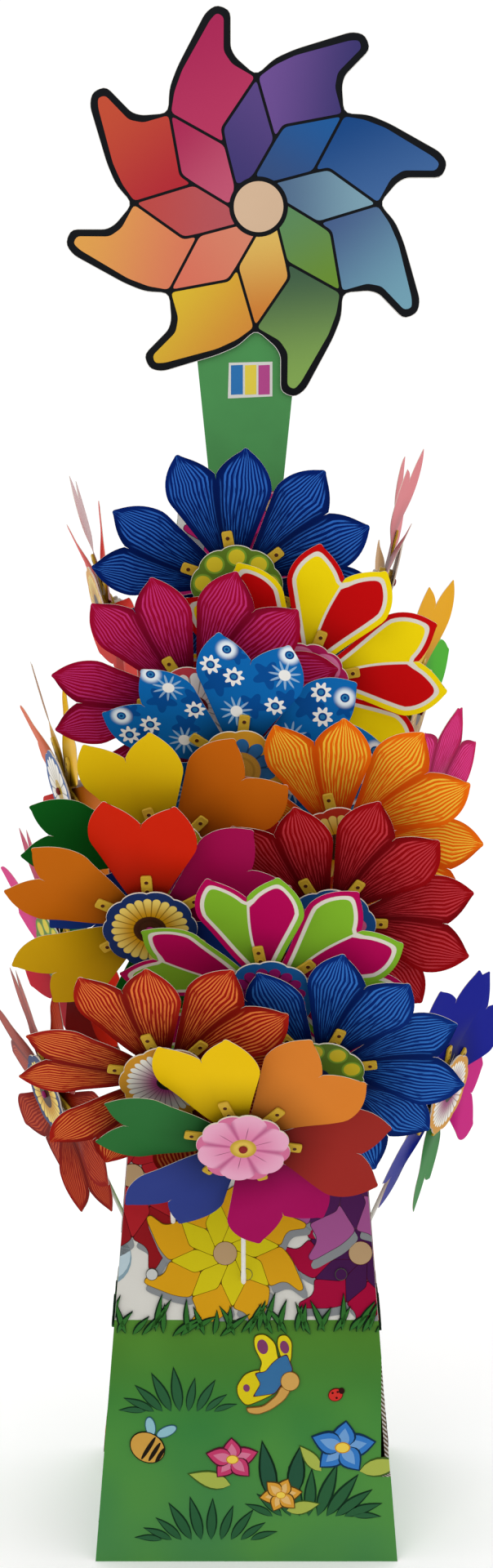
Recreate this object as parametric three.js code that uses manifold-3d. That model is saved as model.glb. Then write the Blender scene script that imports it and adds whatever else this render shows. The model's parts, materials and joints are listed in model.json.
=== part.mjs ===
// A standing display of flower pinwheels: a tapered board tower on a square-cut foot, a tall neck
// that carries one big die-cut pinwheel sign, and twenty pinwheels whose sticks are pushed into
// holes in the tower's front and sides. Each pinwheel's wheel spins on its own axle.
//
// Millimetres, +Z up, the front faces -Y, the origin is on the floor at the centre of the foot.
// The lowest pinwheel on the front is modelled piece by piece. In the others the petals, hub and
// face disc are joined into one wheel, and the axle and its cap into the stick.

import * as THREE from "three";
import { mergeVertices } from "three/addons/utils/BufferGeometryUtils.js";
import Module from "manifold-3d";

const wasm = await Module();
wasm.setup();

const DEG = Math.PI / 180;

// ---- driving dimensions ----

const GAP = 0.4; // air left between two boards that meet
const FIT = 0.3; // air left between small pieces that touch

const TOWER = { height: 1050, width: 300, topWidth: 128, depth: 260, topDepth: 72, board: 4 };
const DIVIDER_HEIGHTS = [252, 700];
const LOCK_SLOT = { low: 86, high: 205, width: 5, depth: 14 }; // open slot down the front right edge

const NECK = { bottom: 960, top: 1300, tongueWidth: 56, width: 70, topWidth: 120, board: 4 };
const SIGN = { x: 9, height: 1322, board: 4, tipRadius: 184 };

const WHEEL = {
  petals: 6,
  radius: 133,
  hubRadius: 12,
  hubBack: -5,
  hubFront: 8.5,
  petalThickness: 1,
  twist: 9, // how far a petal's side edge stands out of the wheel's plane
  discRadius: 43,
  discFront: 11,
  discThickness: 1.5,
};
const ARM = { length: 54, width: 10, thickness: 2, peg: 1.5 };
const AXLE = { radius: 1.6, bore: 2.1, front: 13 };
const CAP = { radius: 4, thickness: 2 };
const STICK = { radius: 2.5, length: 265, stub: 8, back: -9, holeRadius: 4.3, headRadius: 5 };

// Each pinwheel: where its wheel's centre is, which way it faces (0 is the front, 90 is +X), how
// far its wheel and its stick lean back, and how far the wheel is turned on its axle at rest. The
// front wheels overlap like scales, and each leans a little more than the one above it.
const FRONT = [
  { at: [-9, -128, 970], lean: 18, stickLean: 26, turn: 10 },
  { at: [52, -128, 881], lean: 19, stickLean: 25, turn: 40 },
  { at: [-47, -152, 863], lean: 20, stickLean: 23, turn: 30 },
  { at: [-7, -161, 806], lean: 21, stickLean: 24, turn: -6 },
  { at: [86, -162, 735], lean: 22, stickLean: 26, turn: 13 },
  { at: [-73, -189, 728], lean: 23, stickLean: 30, turn: 19 },
  { at: [76, -192, 666], lean: 24, stickLean: 31, turn: -32 },
  { at: [-87, -225, 672], lean: 25, stickLean: 32, turn: 3 },
  { at: [19, -226, 609], lean: 26, stickLean: 31, turn: 10 },
  { at: [66, -220, 533], lean: 27, stickLean: 31, turn: -22 },
  { at: [-72, -253, 538], lean: 28, stickLean: 36, turn: 20 },
  { at: [-3, -252, 476], lean: 29, stickLean: 35, turn: 20 },
];
const LEFT = [
  { at: [-137, 34, 935], facing: -78, lean: 14, stickLean: 20, turn: 10 },
  { at: [-178, 30, 752], facing: -72, lean: 14, stickLean: 22, turn: 12 },
  { at: [-186, 22, 585], facing: -64, lean: 14, stickLean: 24, turn: 12 },
  { at: [-195, 5, 444], facing: -64, lean: 14, stickLean: 24, turn: 15 },
];
const RIGHT = [
  { at: [134, 26, 962], facing: 88, lean: 14, stickLean: 20, turn: 20 },
  { at: [164, 36, 832], facing: 76, lean: 14, stickLean: 20, turn: 5 },
  { at: [178, 32, 708], facing: 70, lean: 14, stickLean: 22, turn: 20 },
  { at: [197, 5, 444], facing: 62, lean: 14, stickLean: 24, turn: 12 },
];
const EXPLODED = "front_12"; // the pinwheel that is modelled piece by piece

// ---- solids ----

// A closed three.js geometry as a manifold-3d solid.
function solid(geometry) {
  const bare = geometry.index ? geometry.toNonIndexed() : geometry.clone();
  bare.deleteAttribute("normal");
  bare.deleteAttribute("uv");
  const merged = mergeVertices(bare, 1e-3);
  return new wasm.Manifold(
    new wasm.Mesh({
      numProp: 3,
      vertProperties: merged.attributes.position.array,
      triVerts: new Uint32Array(merged.index.array),
    }),
  );
}

// A manifold-3d solid as a three.js geometry.
function geometryOf(body) {
  const mesh = body.getMesh();
  const geometry = new THREE.BufferGeometry();
  geometry.setAttribute("position", new THREE.BufferAttribute(mesh.vertProperties, 3));
  geometry.setIndex(new THREE.BufferAttribute(mesh.triVerts, 1));
  geometry.computeVertexNormals();
  return geometry;
}

const joined = (...geometries) => geometryOf(geometries.map(solid).reduce((a, b) => a.add(b)));

function cut(geometry, ...tools) {
  return geometryOf(tools.map(solid).reduce((body, tool) => body.subtract(tool), solid(geometry)));
}

// A round bar along local Z from z0 to z1.
function bar(radius, z0, z1, sides = 10) {
  const geometry = new THREE.CylinderGeometry(radius, radius, z1 - z0, sides);
  return geometry.rotateX(90 * DEG).translate(0, 0, (z0 + z1) / 2);
}

// A straight-sided board that changes size between two heights; lo and hi are its [x0, x1, y0, y1].
function taperedBoard(z0, lo, z1, hi) {
  const corner = (z, [x0, x1, y0, y1]) => [
    [x0, y0, z],
    [x1, y0, z],
    [x1, y1, z],
    [x0, y1, z],
  ];
  const points = [...corner(z0, lo), ...corner(z1, hi)].flat();
  const faces = [
    [3, 2, 1, 0],
    [4, 5, 6, 7],
    [0, 1, 5, 4],
    [1, 2, 6, 5],
    [2, 3, 7, 6],
    [3, 0, 4, 7],
  ];
  const geometry = new THREE.BufferGeometry();
  geometry.setAttribute("position", new THREE.Float32BufferAttribute(points, 3));
  geometry.setIndex(faces.flatMap(([a, b, c, d]) => [a, b, c, a, c, d]));
  return geometry.toNonIndexed();
}

// ---- materials ----

const paint = (color, roughness = 0.45) =>
  new THREE.MeshStandardMaterial({ color, roughness, metalness: 0 });

const MATERIAL = {
  artBoard: paint(0x3d9a4e),
  plainBoard: paint(0xb89468, 0.8),
  lidBoard: paint(0xd8207a),
  neckBoard: paint(0x58ac6c),
  signBoard: paint(0x2b2e33),
  stick: paint(0xf2efe6, 0.35),
  pin: new THREE.MeshStandardMaterial({ color: 0xb9bcc0, roughness: 0.3, metalness: 1 }),
  hub: paint(0xf0cf3a, 0.35),
  disc: paint(0xe98ab0, 0.4),
};

const WHEEL_COLOURS = {
  front_01: 0x0b2f8f,
  front_02: 0xe9d21a,
  front_03: 0xa80b4c,
  front_04: 0x1c6fb8,
  front_05: 0xf26a12,
  front_06: 0xe8b81c,
  front_07: 0xb3121e,
  front_08: 0xd8471a,
  front_09: 0x79b833,
  front_10: 0x1353b0,
  front_11: 0xc93d1f,
  left_1: 0xc41e1e,
  left_2: 0xe0650f,
  left_3: 0xd81c7c,
  left_4: 0xb8401c,
  right_1: 0xe77a86,
  right_2: 0x3aa52c,
  right_3: 0xd8106a,
  right_4: 0x1a2a9c,
};
const PETAL_COLOURS = [0xf2cf16, 0x2f8a48, 0x38439c, 0xb0105e, 0xc4352a, 0xe88a34];

const display = new THREE.Group();
display.name = "pinwheel_display";

function add(parent, name, geometry, material) {
  const mesh = new THREE.Mesh(geometry, material);
  mesh.name = name;
  parent.add(mesh);
  return mesh;
}

// ---- one pinwheel ----

// Rows across a petal sheet, from its root to its widest part, as [distance out, half width]. The
// last row is its rim, which has two tips with a notch between them.
const PETAL_ROWS = [
  [7, 3.8],
  [64, 35],
  [88, 47],
];
const PETAL_RIM = { notch: [0, 109], tip: [32, 129], shoulder: [46, 107] };

// The sheet is flat where the hub's arm holds it, and beyond that it twists like a vane.
function petalPoint(u, row, front) {
  const [x, y] =
    row < PETAL_ROWS.length
      ? [u * PETAL_ROWS[row][1], PETAL_ROWS[row][0]]
      : { 0: PETAL_RIM.notch, 1: PETAL_RIM.tip, 2: PETAL_RIM.shoulder }[Math.round(2 * Math.abs(u))].map(
          (value, axis) => (axis === 0 ? value * Math.sign(u) : value),
        );
  const lift = row < 2 ? 0 : (x / PETAL_ROWS[2][1]) * WHEEL.twist;
  return [x, y, (front ? WHEEL.petalThickness : 0) + lift];
}

// Splits the back's cells along the same diagonals as the front's, so that the twisted sheet keeps
// its thickness. Each cell's two triangles are stored as a, b, d and b, c, d.
function alignDiagonals(box) {
  const index = box.getIndex();
  const back = box.groups[5];
  for (let i = back.start; i < back.start + back.count; i += 6) {
    const [a, c] = [index.getX(i), index.getX(i + 4)];
    index.setX(i + 2, c);
    index.setX(i + 3, a);
  }
}

function petal() {
  const rows = PETAL_ROWS.length;
  const geometry = new THREE.BoxGeometry(2, rows, 1, 4, rows, 1);
  const position = geometry.getAttribute("position");
  for (let i = 0; i < position.count; i += 1) {
    const row = Math.round(position.getY(i) + rows / 2);
    position.setXYZ(i, ...petalPoint(position.getX(i), row, position.getZ(i) > 0));
  }
  alignDiagonals(geometry);
  return geometry;
}

const turned = (geometry, index) => geometry.rotateZ((index * 360 * DEG) / WHEEL.petals);
const petalRange = [...Array(WHEEL.petals).keys()];

// Hub boss, petals and printed face disc as one body, bored for the axle.
function joinedWheel() {
  const boss = bar(WHEEL.hubRadius, WHEEL.hubBack, WHEEL.discFront - 0.5, 12);
  const disc = bar(WHEEL.discRadius, WHEEL.discFront - WHEEL.discThickness, WHEEL.discFront, 14);
  const petals = petalRange.map((i) => turned(petal(), i));
  const bore = bar(AXLE.bore, WHEEL.hubBack - 2, WHEEL.discFront + 2, 8);
  return cut(joined(boss, disc, ...petals), bore);
}

const wheelGeometry = joinedWheel();

// The bare stick: its head is level with the axle and it runs down from there.
const stickBar = () => bar(STICK.radius, -STICK.length + STICK.stub, STICK.stub, 8).rotateX(-90 * DEG);

// Turns a stick about the axle's height so that it leans more than its wheel, and sets it behind.
function leaned(geometry, extraLean) {
  return geometry.rotateX(extraLean * DEG).translate(0, 0, STICK.back);
}

function addJoinedPinwheel(group, name, extraLean) {
  const axle = bar(AXLE.radius, STICK.back, AXLE.front, 8);
  const capBack = WHEEL.discFront + 0.6;
  const cap = bar(CAP.radius, capBack, capBack + CAP.thickness, 10);
  const stick = joined(leaned(stickBar(), extraLean), axle, cap);
  add(group, `${name}_stick`, stick, MATERIAL.stick);
  const wheel = add(group, `${name}_wheel`, wheelGeometry, paint(WHEEL_COLOURS[name], 0.4));
  return wheel;
}

// The same pinwheel with every piece on its own.
function addExplodedPinwheel(group, name, extraLean) {
  const headBack = STICK.back - 4;
  const headFront = STICK.back + 3.5;
  const pinBore = bar(AXLE.radius + FIT, headBack - 5, headFront + 5, 8);
  const head = bar(STICK.headRadius, headBack, headFront, 12);
  const stick = cut(joined(leaned(stickBar(), extraLean), head), pinBore);
  add(group, `${name}_stick`, stick, MATERIAL.stick);

  const pinHead = bar(AXLE.radius * 2, headBack - FIT - 1.5, headBack - FIT, 10);
  add(group, `${name}_axle_pin`, joined(bar(AXLE.radius, headBack - 1, AXLE.front), pinHead), MATERIAL.pin);

  const capBack = WHEEL.discFront + 0.6;
  const capFront = AXLE.front + 1.5;
  const socket = bar(AXLE.radius + FIT, capBack - 1, AXLE.front + FIT, 10);
  add(group, `${name}_axle_cap`, cut(bar(CAP.radius, capBack, capFront, 12), socket), MATERIAL.hub);

  const wheel = new THREE.Group();
  group.add(wheel);

  const petalFront = FIT + WHEEL.petalThickness;
  const armBack = petalFront + FIT;
  const pegAt = ARM.length - 9;
  const arm = new THREE.BoxGeometry(ARM.width, ARM.length, ARM.thickness);
  arm.translate(0, ARM.length / 2, armBack + ARM.thickness / 2);
  const peg = bar(ARM.peg, -1.2, armBack + 0.5, 8).translate(0, pegAt, 0);
  const spokes = petalRange.flatMap((i) =>
    [arm, peg].map((geometry) => turned(geometry.clone(), i)),
  );
  const boss = bar(WHEEL.hubRadius, WHEEL.hubBack, WHEEL.hubFront, 16);
  const bore = bar(AXLE.bore, WHEEL.hubBack - 2, WHEEL.hubFront + 2, 10);
  add(wheel, `${name}_hub`, cut(joined(boss, ...spokes), bore), MATERIAL.hub);

  const pegHole = bar(ARM.peg + FIT, -5, 5, 8).translate(0, pegAt, 0);
  const rootClearance = bar(WHEEL.hubRadius + FIT, -5, 5, 24);
  petalRange.forEach((i) => {
    const geometry = turned(cut(petal().translate(0, 0, FIT), pegHole, rootClearance), i);
    add(wheel, `${name}_petal_${i + 1}`, geometry, paint(PETAL_COLOURS[i], 0.4));
  });

  const discBack = WHEEL.discFront - WHEEL.discThickness;
  const collar = bar(7, WHEEL.hubFront + FIT, discBack + 0.5, 12);
  const disc = bar(WHEEL.discRadius, discBack, WHEEL.discFront, 24);
  const discBore = bar(AXLE.bore, 0, WHEEL.discFront + 2, 10);
  add(wheel, `${name}_face_disc`, cut(joined(disc, collar), discBore), MATERIAL.disc);
  return wheel;
}

const stickHoles = [];

function addPinwheel(name, { at, facing = 0, lean, stickLean, turn }) {
  const extraLean = stickLean - lean;
  const group = new THREE.Group();
  group.position.set(...at);
  group.rotation.set((90 + lean) * DEG, 0, facing * DEG, "ZYX");
  display.add(group);
  group.updateMatrixWorld(true);

  const build = name === EXPLODED ? addExplodedPinwheel : addJoinedPinwheel;
  const wheel = build(group, name, extraLean);
  wheel.rotation.z = turn * DEG;

  const drill = bar(STICK.holeRadius, -STICK.length - 6, 0, 10).rotateX(-90 * DEG);
  stickHoles.push(leaned(drill, extraLean).applyMatrix4(group.matrixWorld));
}

const twoDigits = (i) => String(i + 1).padStart(2, "0");
FRONT.forEach((p, i) => addPinwheel(`front_${twoDigits(i)}`, p));
LEFT.forEach((p, i) => addPinwheel(`left_${i + 1}`, p));
RIGHT.forEach((p, i) => addPinwheel(`right_${i + 1}`, p));

// ---- the tower ----

const halfWidth = (z) => THREE.MathUtils.lerp(TOWER.width, TOWER.topWidth, z / TOWER.height) / 2;
const halfDepth = (z) => THREE.MathUtils.lerp(TOWER.depth, TOWER.topDepth, z / TOWER.height) / 2;

// A board of the tower: section gives its [x0, x1, y0, y1] at a height.
const wall = (section, z0 = 0, z1 = TOWER.height) => taperedBoard(z0, section(z0), z1, section(z1));

const T = TOWER.board;
const frontSection = (z) => [-halfWidth(z), halfWidth(z), -halfDepth(z), -halfDepth(z) + T];
const backSection = (z) => [-halfWidth(z), halfWidth(z), halfDepth(z) - T, halfDepth(z)];
const between = (z) => halfDepth(z) - T - GAP;
const leftSection = (z) => [-halfWidth(z), -halfWidth(z) + T, -between(z), between(z)];
const rightSection = (z) => [halfWidth(z) - T, halfWidth(z), -between(z), between(z)];
function insideSection(z) {
  const x = halfWidth(z) - T - GAP;
  return [-x, x, -between(z), between(z)];
}

const allHoles = stickHoles.map(solid).reduce((a, b) => a.add(b));
const drilled = (geometry) => geometryOf(solid(geometry).subtract(allHoles));

// The slot is open through the front board's right edge and the side board behind it.
function slotBox() {
  const { low, high, width } = LOCK_SLOT;
  const x = halfWidth((low + high) / 2);
  const y = -halfDepth((low + high) / 2);
  const box = new THREE.BoxGeometry(width + 20, LOCK_SLOT.depth + 20, high - low);
  return box.translate(x + 10 - width / 2, y + LOCK_SLOT.depth / 2 - 10, (low + high) / 2);
}

const frontPanel = drilled(cut(wall(frontSection), slotBox()));
add(display, "front_panel", frontPanel, MATERIAL.artBoard);
add(display, "back_panel", drilled(wall(backSection)), MATERIAL.artBoard);
add(display, "left_panel", drilled(wall(leftSection)), MATERIAL.artBoard);
add(display, "right_panel", drilled(cut(wall(rightSection), slotBox())), MATERIAL.artBoard);
add(display, "foot_board", wall(insideSection, 0, T), MATERIAL.plainBoard);
DIVIDER_HEIGHTS.forEach((z, i) => {
  const name = ["lower_divider", "upper_divider"][i];
  add(display, name, drilled(wall(insideSection, z, z + T)), MATERIAL.plainBoard);
});

// The lid has a slot that the neck's tongue passes through.
const lid = wall(insideSection, TOWER.height - T, TOWER.height);
const lidSlot = new THREE.BoxGeometry(NECK.tongueWidth + 2, NECK.board + 2 * FIT, 4 * T);
lidSlot.translate(0, 0, TOWER.height);
add(display, "lid_board", cut(lid, lidSlot), MATERIAL.lidBoard);

// ---- the neck and the sign ----

// The neck widens upwards and stands on the lid by two shoulders beside its tongue.
function neckBoard() {
  const { bottom, top, tongueWidth, width, topWidth, board } = NECK;
  const shoulder = TOWER.height + FIT;
  const shape = new THREE.Shape();
  shape.moveTo(-tongueWidth / 2, bottom);
  shape.lineTo(tongueWidth / 2, bottom);
  shape.lineTo(tongueWidth / 2, shoulder);
  shape.lineTo(width / 2, shoulder);
  shape.lineTo(topWidth / 2, top);
  shape.lineTo(-topWidth / 2, top);
  shape.lineTo(-width / 2, shoulder);
  shape.lineTo(-tongueWidth / 2, shoulder);
  const geometry = new THREE.ExtrudeGeometry(shape, { depth: board, bevelEnabled: false });
  return geometry.rotateX(90 * DEG).translate(0, board / 2, 0);
}
add(display, "neck_board", neckBoard(), MATERIAL.neckBoard);

// One blade of the sign as [radius in tip radii, angle in degrees], from the corner it shares with
// the blade before it, round its hooked tip, to just before the corner shared with the next one.
const BLADE = [
  [0.64, 45],
  [0.73, 37.7],
  [0.795, 30.5],
  [0.985, 15.3],
  [1.01, 11.6],
  [0.97, 7.6],
  [0.785, 9.4],
  [0.735, 8],
];
const BLADES = 8;

function signBoard() {
  const outline = [];
  for (let blade = 0; blade < BLADES; blade += 1) {
    for (const [radius, angle] of BLADE) {
      const a = (angle - (blade * 360) / BLADES) * DEG;
      const r = radius * SIGN.tipRadius;
      outline.push(new THREE.Vector2(r * Math.cos(a), r * Math.sin(a)));
    }
  }
  const shape = new THREE.Shape(outline.reverse());
  const geometry = new THREE.ExtrudeGeometry(shape, { depth: SIGN.board, bevelEnabled: false });
  const front = -NECK.board / 2 - FIT;
  return geometry.rotateX(90 * DEG).translate(SIGN.x, front, SIGN.height);
}
add(display, "sign_board", signBoard(), MATERIAL.signBoard);

export default display;
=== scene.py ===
"""The looks of the pinwheel display: printed film petals, moulded hubs and sticks, and printed card.

Shapes are written in millimetres in a piece's own flat frame, and placed on the CAD frame in metres.
"""

import json
import math
import random

import bpy
from mathutils import Matrix, Vector


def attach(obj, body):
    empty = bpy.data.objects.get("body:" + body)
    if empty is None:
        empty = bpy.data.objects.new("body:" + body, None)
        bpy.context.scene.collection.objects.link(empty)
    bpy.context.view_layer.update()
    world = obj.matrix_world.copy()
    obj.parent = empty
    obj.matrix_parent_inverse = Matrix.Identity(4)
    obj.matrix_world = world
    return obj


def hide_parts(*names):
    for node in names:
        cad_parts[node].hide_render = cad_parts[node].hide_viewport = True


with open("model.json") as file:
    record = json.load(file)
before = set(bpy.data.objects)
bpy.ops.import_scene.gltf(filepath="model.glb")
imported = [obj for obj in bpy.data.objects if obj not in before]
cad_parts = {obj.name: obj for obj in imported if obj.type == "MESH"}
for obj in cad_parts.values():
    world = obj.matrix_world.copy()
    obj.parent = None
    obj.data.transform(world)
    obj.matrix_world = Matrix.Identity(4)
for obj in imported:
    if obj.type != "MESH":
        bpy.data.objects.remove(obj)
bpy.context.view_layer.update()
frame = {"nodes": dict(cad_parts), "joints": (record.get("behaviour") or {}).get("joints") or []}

MM = 0.001


# ---- colours and node materials ----


def linear(code):
    """A colour written as six hex digits, as the linear colour that Blender's sockets take."""
    channels = [int(code[i : i + 2], 16) / 255 for i in (0, 2, 4)]
    return (*(c / 12.92 if c <= 0.04045 else ((c + 0.055) / 1.055) ** 2.4 for c in channels), 1.0)


SHEEN = 0.012  # how much all the surfaces mirror the white studio
INK_DEPTH = 0.16  # how much darker than its code every colour of the display is


class Shader:
    """A material's node tree, built up by short calls that each return an output socket."""

    def __init__(self, name, roughness, coat=0.0):
        self.material = bpy.data.materials.new(name)
        self.material.use_nodes = True
        self.nodes = self.material.node_tree.nodes
        self.links = self.material.node_tree.links
        self.surface = self.nodes["Principled BSDF"]
        self.surface.inputs["Roughness"].default_value = roughness
        self.surface.inputs["Specular IOR Level"].default_value = SHEEN
        self.surface.inputs["Coat Weight"].default_value = coat
        self.surface.inputs["Coat Roughness"].default_value = 0.2

    def _feed(self, socket, value):
        if isinstance(value, bpy.types.NodeSocket):
            self.links.new(value, socket)
        elif isinstance(value, str):
            socket.default_value = linear(value)
        else:
            socket.default_value = value

    def math(self, operation, *values):
        node = self.nodes.new("ShaderNodeMath")
        node.operation = operation
        for socket, value in zip(node.inputs, values):
            self._feed(socket, value)
        return node.outputs[0]

    def times(self, first, second):
        return self.math("MULTIPLY", first, second)

    def plus(self, first, second):
        return self.math("ADD", first, second)

    def minus(self, first, second):
        return self.math("SUBTRACT", first, second)

    def scaled(self, value, factor, offset):
        return self.math("MULTIPLY_ADD", value, factor, offset)

    def step(self, value, low, high):
        """0 below low, 1 above high, and a smooth rise between them."""
        node = self.nodes.new("ShaderNodeMapRange")
        node.interpolation_type = "SMOOTHSTEP"
        for name, number in (("Value", value), ("From Min", low), ("From Max", high)):
            self._feed(node.inputs[name], number)
        return node.outputs[0]

    def mix(self, factor, first, second):
        node = self.nodes.new("ShaderNodeMix")
        node.data_type = "RGBA"
        self._feed(node.inputs[0], factor)
        self._feed(node.inputs[6], first)
        self._feed(node.inputs[7], second)
        return node.outputs[2]

    def split(self, vector):
        node = self.nodes.new("ShaderNodeSeparateXYZ")
        self.links.new(vector, node.inputs[0])
        return node.outputs

    def uv(self, layer):
        node = self.nodes.new("ShaderNodeUVMap")
        node.uv_map = layer
        return self.split(node.outputs[0])[:2]

    def place(self, output="Object"):
        return self.nodes.new("ShaderNodeTexCoord").outputs[output]

    def point(self, x, y):
        node = self.nodes.new("ShaderNodeCombineXYZ")
        for socket, value in zip(node.inputs, (x, y)):
            self._feed(socket, value)
        return node.outputs[0]

    def noise(self, where, scale, detail=2.0):
        node = self.nodes.new("ShaderNodeTexNoise")
        node.inputs["Scale"].default_value = scale
        node.inputs["Detail"].default_value = detail
        self.links.new(where, node.inputs["Vector"])
        return node.outputs["Fac"]

    def finish(self, colour, height=None, strength=0.2, distance=0.0003, depth=INK_DEPTH):
        """Sets the colour, and a bump where a height is given, and returns the material."""
        self._feed(self.surface.inputs["Base Color"], self.mix(depth, colour, "000000"))
        if height is not None:
            bump = self.nodes.new("ShaderNodeBump")
            bump.inputs["Strength"].default_value = strength
            bump.inputs["Distance"].default_value = distance
            self.links.new(height, bump.inputs["Height"])
            self.links.new(bump.outputs[0], self.surface.inputs["Normal"])
        return self.material


MADE = {}
EDGE_SPAN = 60.0  # mm from a sheet's edge that the "print" layer's 0 to 1 covers
SHEET_SPAN = 140.0  # mm up and to each side that it covers where it holds places instead
DISC_SPAN = 100.0  # mm that it covers across a face disc
FILM_GLOSS, DISC_GLOSS = 0.36, 0.34  # roughnesses
CUT_EDGE = "e6dccb"  # white film and card seen from the side


def once(make):
    """Makes a material only the first time that it is asked for with the same values."""

    def wrapper(*values):
        key = (make.__name__, *values)
        if key not in MADE:
            MADE[key] = make(*values)
        return MADE[key]

    return wrapper


def darker(code, share):
    return "".join(f"{int(int(code[i:i + 2], 16) * share):02x}" for i in (0, 2, 4))


def paler(code, share):
    values = (int(code[i : i + 2], 16) for i in (0, 2, 4))
    return "".join(f"{int(v + (255 - v) * share):02x}" for v in values)


@once
def plastic(code, roughness=0.38):
    """Moulded plastic with a faint unevenness in its gloss."""
    s = Shader(f"plastic_{code}", roughness, coat=0.15)
    grain = s.noise(s.place(), 260)
    tone = s.mix(s.noise(s.place(), 30), darker(code, 0.93), paler(code, 0.06))
    return s.finish(tone, grain, 0.12)


@once
def metal(code):
    s = Shader(f"metal_{code}", 0.28)
    s.surface.inputs["Metallic"].default_value = 1.0
    grain = s.noise(s.place(), 900)
    return s.finish(s.mix(grain, darker(code, 0.85), code), grain, 0.1)


def film(s, colour):
    """Finishes a printed plastic film: glossy, with a slight ripple."""
    ripple = s.noise(s.place(), 45, 1.0)
    return s.finish(colour, ripple, 0.25, 0.0006)


@once
def plain_film(code):
    """One colour all over, with painted shade that darkens it towards the hub."""
    s = Shader(f"film_plain_{code}", FILM_GLOSS)
    # Painted shade: the film is drawn darker towards the hub.
    deep = s.step(s.uv("lobe")[1], 0.62, 0.0)
    tone = s.mix(s.noise(s.place(), 18), code, paler(code, 0.04))
    return film(s, s.mix(deep, tone, darker(code, 0.5)))


@once
def back_film(code):
    """The unprinted back of a film, with a breath of the front's colour."""
    s = Shader(f"film_back_{code}", 0.45)
    tone = s.mix(s.noise(s.place(), 25), paler(code, 0.8), paler(code, 0.7))
    return film(s, tone)


STROKES = 13  # across each half of a sheet


def edge_distances(s):
    """How far a point is from the half's outer edge and from its inner one, in mm."""
    return [s.times(value, EDGE_SPAN) for value in s.uv("print")]


@once
def stroke_film(ground, stroke, deep):
    """Fine brush strokes that run up each half of the sheet from the hub to its tip."""
    s = Shader(f"film_strokes_{ground}", FILM_GLOSS)
    across, along = s.uv("lobe")
    margin = s.math("MINIMUM", *edge_distances(s))
    drift = s.noise(s.point(s.times(across, 1.3), along), 2.0, 1.0)
    turns = s.times(across, 2 * math.pi * STROKES)
    phase = s.scaled(drift, 14.0, turns)
    line = s.step(s.math("SINE", phase), -0.1, 0.3)

    # Each stroke starts and ends at a place of its own, and thins out towards the root.
    own = s.noise(s.point(s.times(across, STROKES), 0.0), 1.3, 0.0)
    begun = s.step(s.scaled(own, -0.45, along), -0.12, 0.1)
    inside = s.step(s.scaled(own, -9.0, margin), -1.0, 1.5)
    beside = s.step(across, 0.05, 0.12)
    fleck = s.noise(s.point(s.times(across, 46.0), s.times(along, 9.0)), 1.0)
    dry = s.step(s.scaled(along, 0.3, fleck), 0.52, 0.6)
    mask = line
    for part in (begun, inside, beside, dry):
        mask = s.times(mask, part)

    # The halves darken towards the root and along the line between them: painted shade, in the ground and in
    # the strokes.
    rooted = s.step(along, 0.05, 0.75)
    lit = s.times(rooted, s.scaled(s.step(across, 0.0, 0.3), 0.5, 0.5))
    shade = s.mix(lit, deep, ground)
    ink_tone = s.mix(rooted, darker(stroke, 0.7), paler(stroke, 0.1))
    return film(s, s.mix(mask, shade, ink_tone))


RIM_END, RING_END = 4.4, 8.0  # mm in from a half's edge where its border and its ring end
BAND_ROUNDING = 9.0  # how softly the bands turn the corners, as SMOOTH_MIN's distance


@once
def banded_film(rim, fill, ring_tone):
    """A coloured border, a pale ring inside it and a plain middle, with painted shade that darkens the
    middle towards the hub.
    """
    s = Shader(f"film_bands_{rim}_{fill}", FILM_GLOSS)
    outer, inner = edge_distances(s)
    node = s.nodes.new("ShaderNodeMath")
    node.operation = "SMOOTH_MIN"
    for socket, value in zip(node.inputs, (outer, inner, BAND_ROUNDING)):
        s._feed(socket, value)
    distance = node.outputs[0]
    # Painted shade: the middle is drawn darker towards the hub.
    shade = s.mix(s.step(s.uv("lobe")[1], 0.5, 0.0), fill, darker(fill, 0.6))
    middle = s.mix(s.step(distance, RING_END, RING_END + 0.6), ring_tone, shade)
    return film(s, s.mix(s.step(distance, RIM_END, RIM_END + 0.6), rim, middle))


def polar(s, u, v, x, y, scale):
    """Distance in mm and angle of a printed point from (x, y)."""
    dx = s.minus(s.scaled(u, 2.0 * scale, -scale), x)
    dy = s.minus(v, y)
    radius = s.math("SQRT", s.plus(s.times(dx, dx), s.times(dy, dy)))
    return radius, s.math("ARCTAN2", dy, dx)


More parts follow.
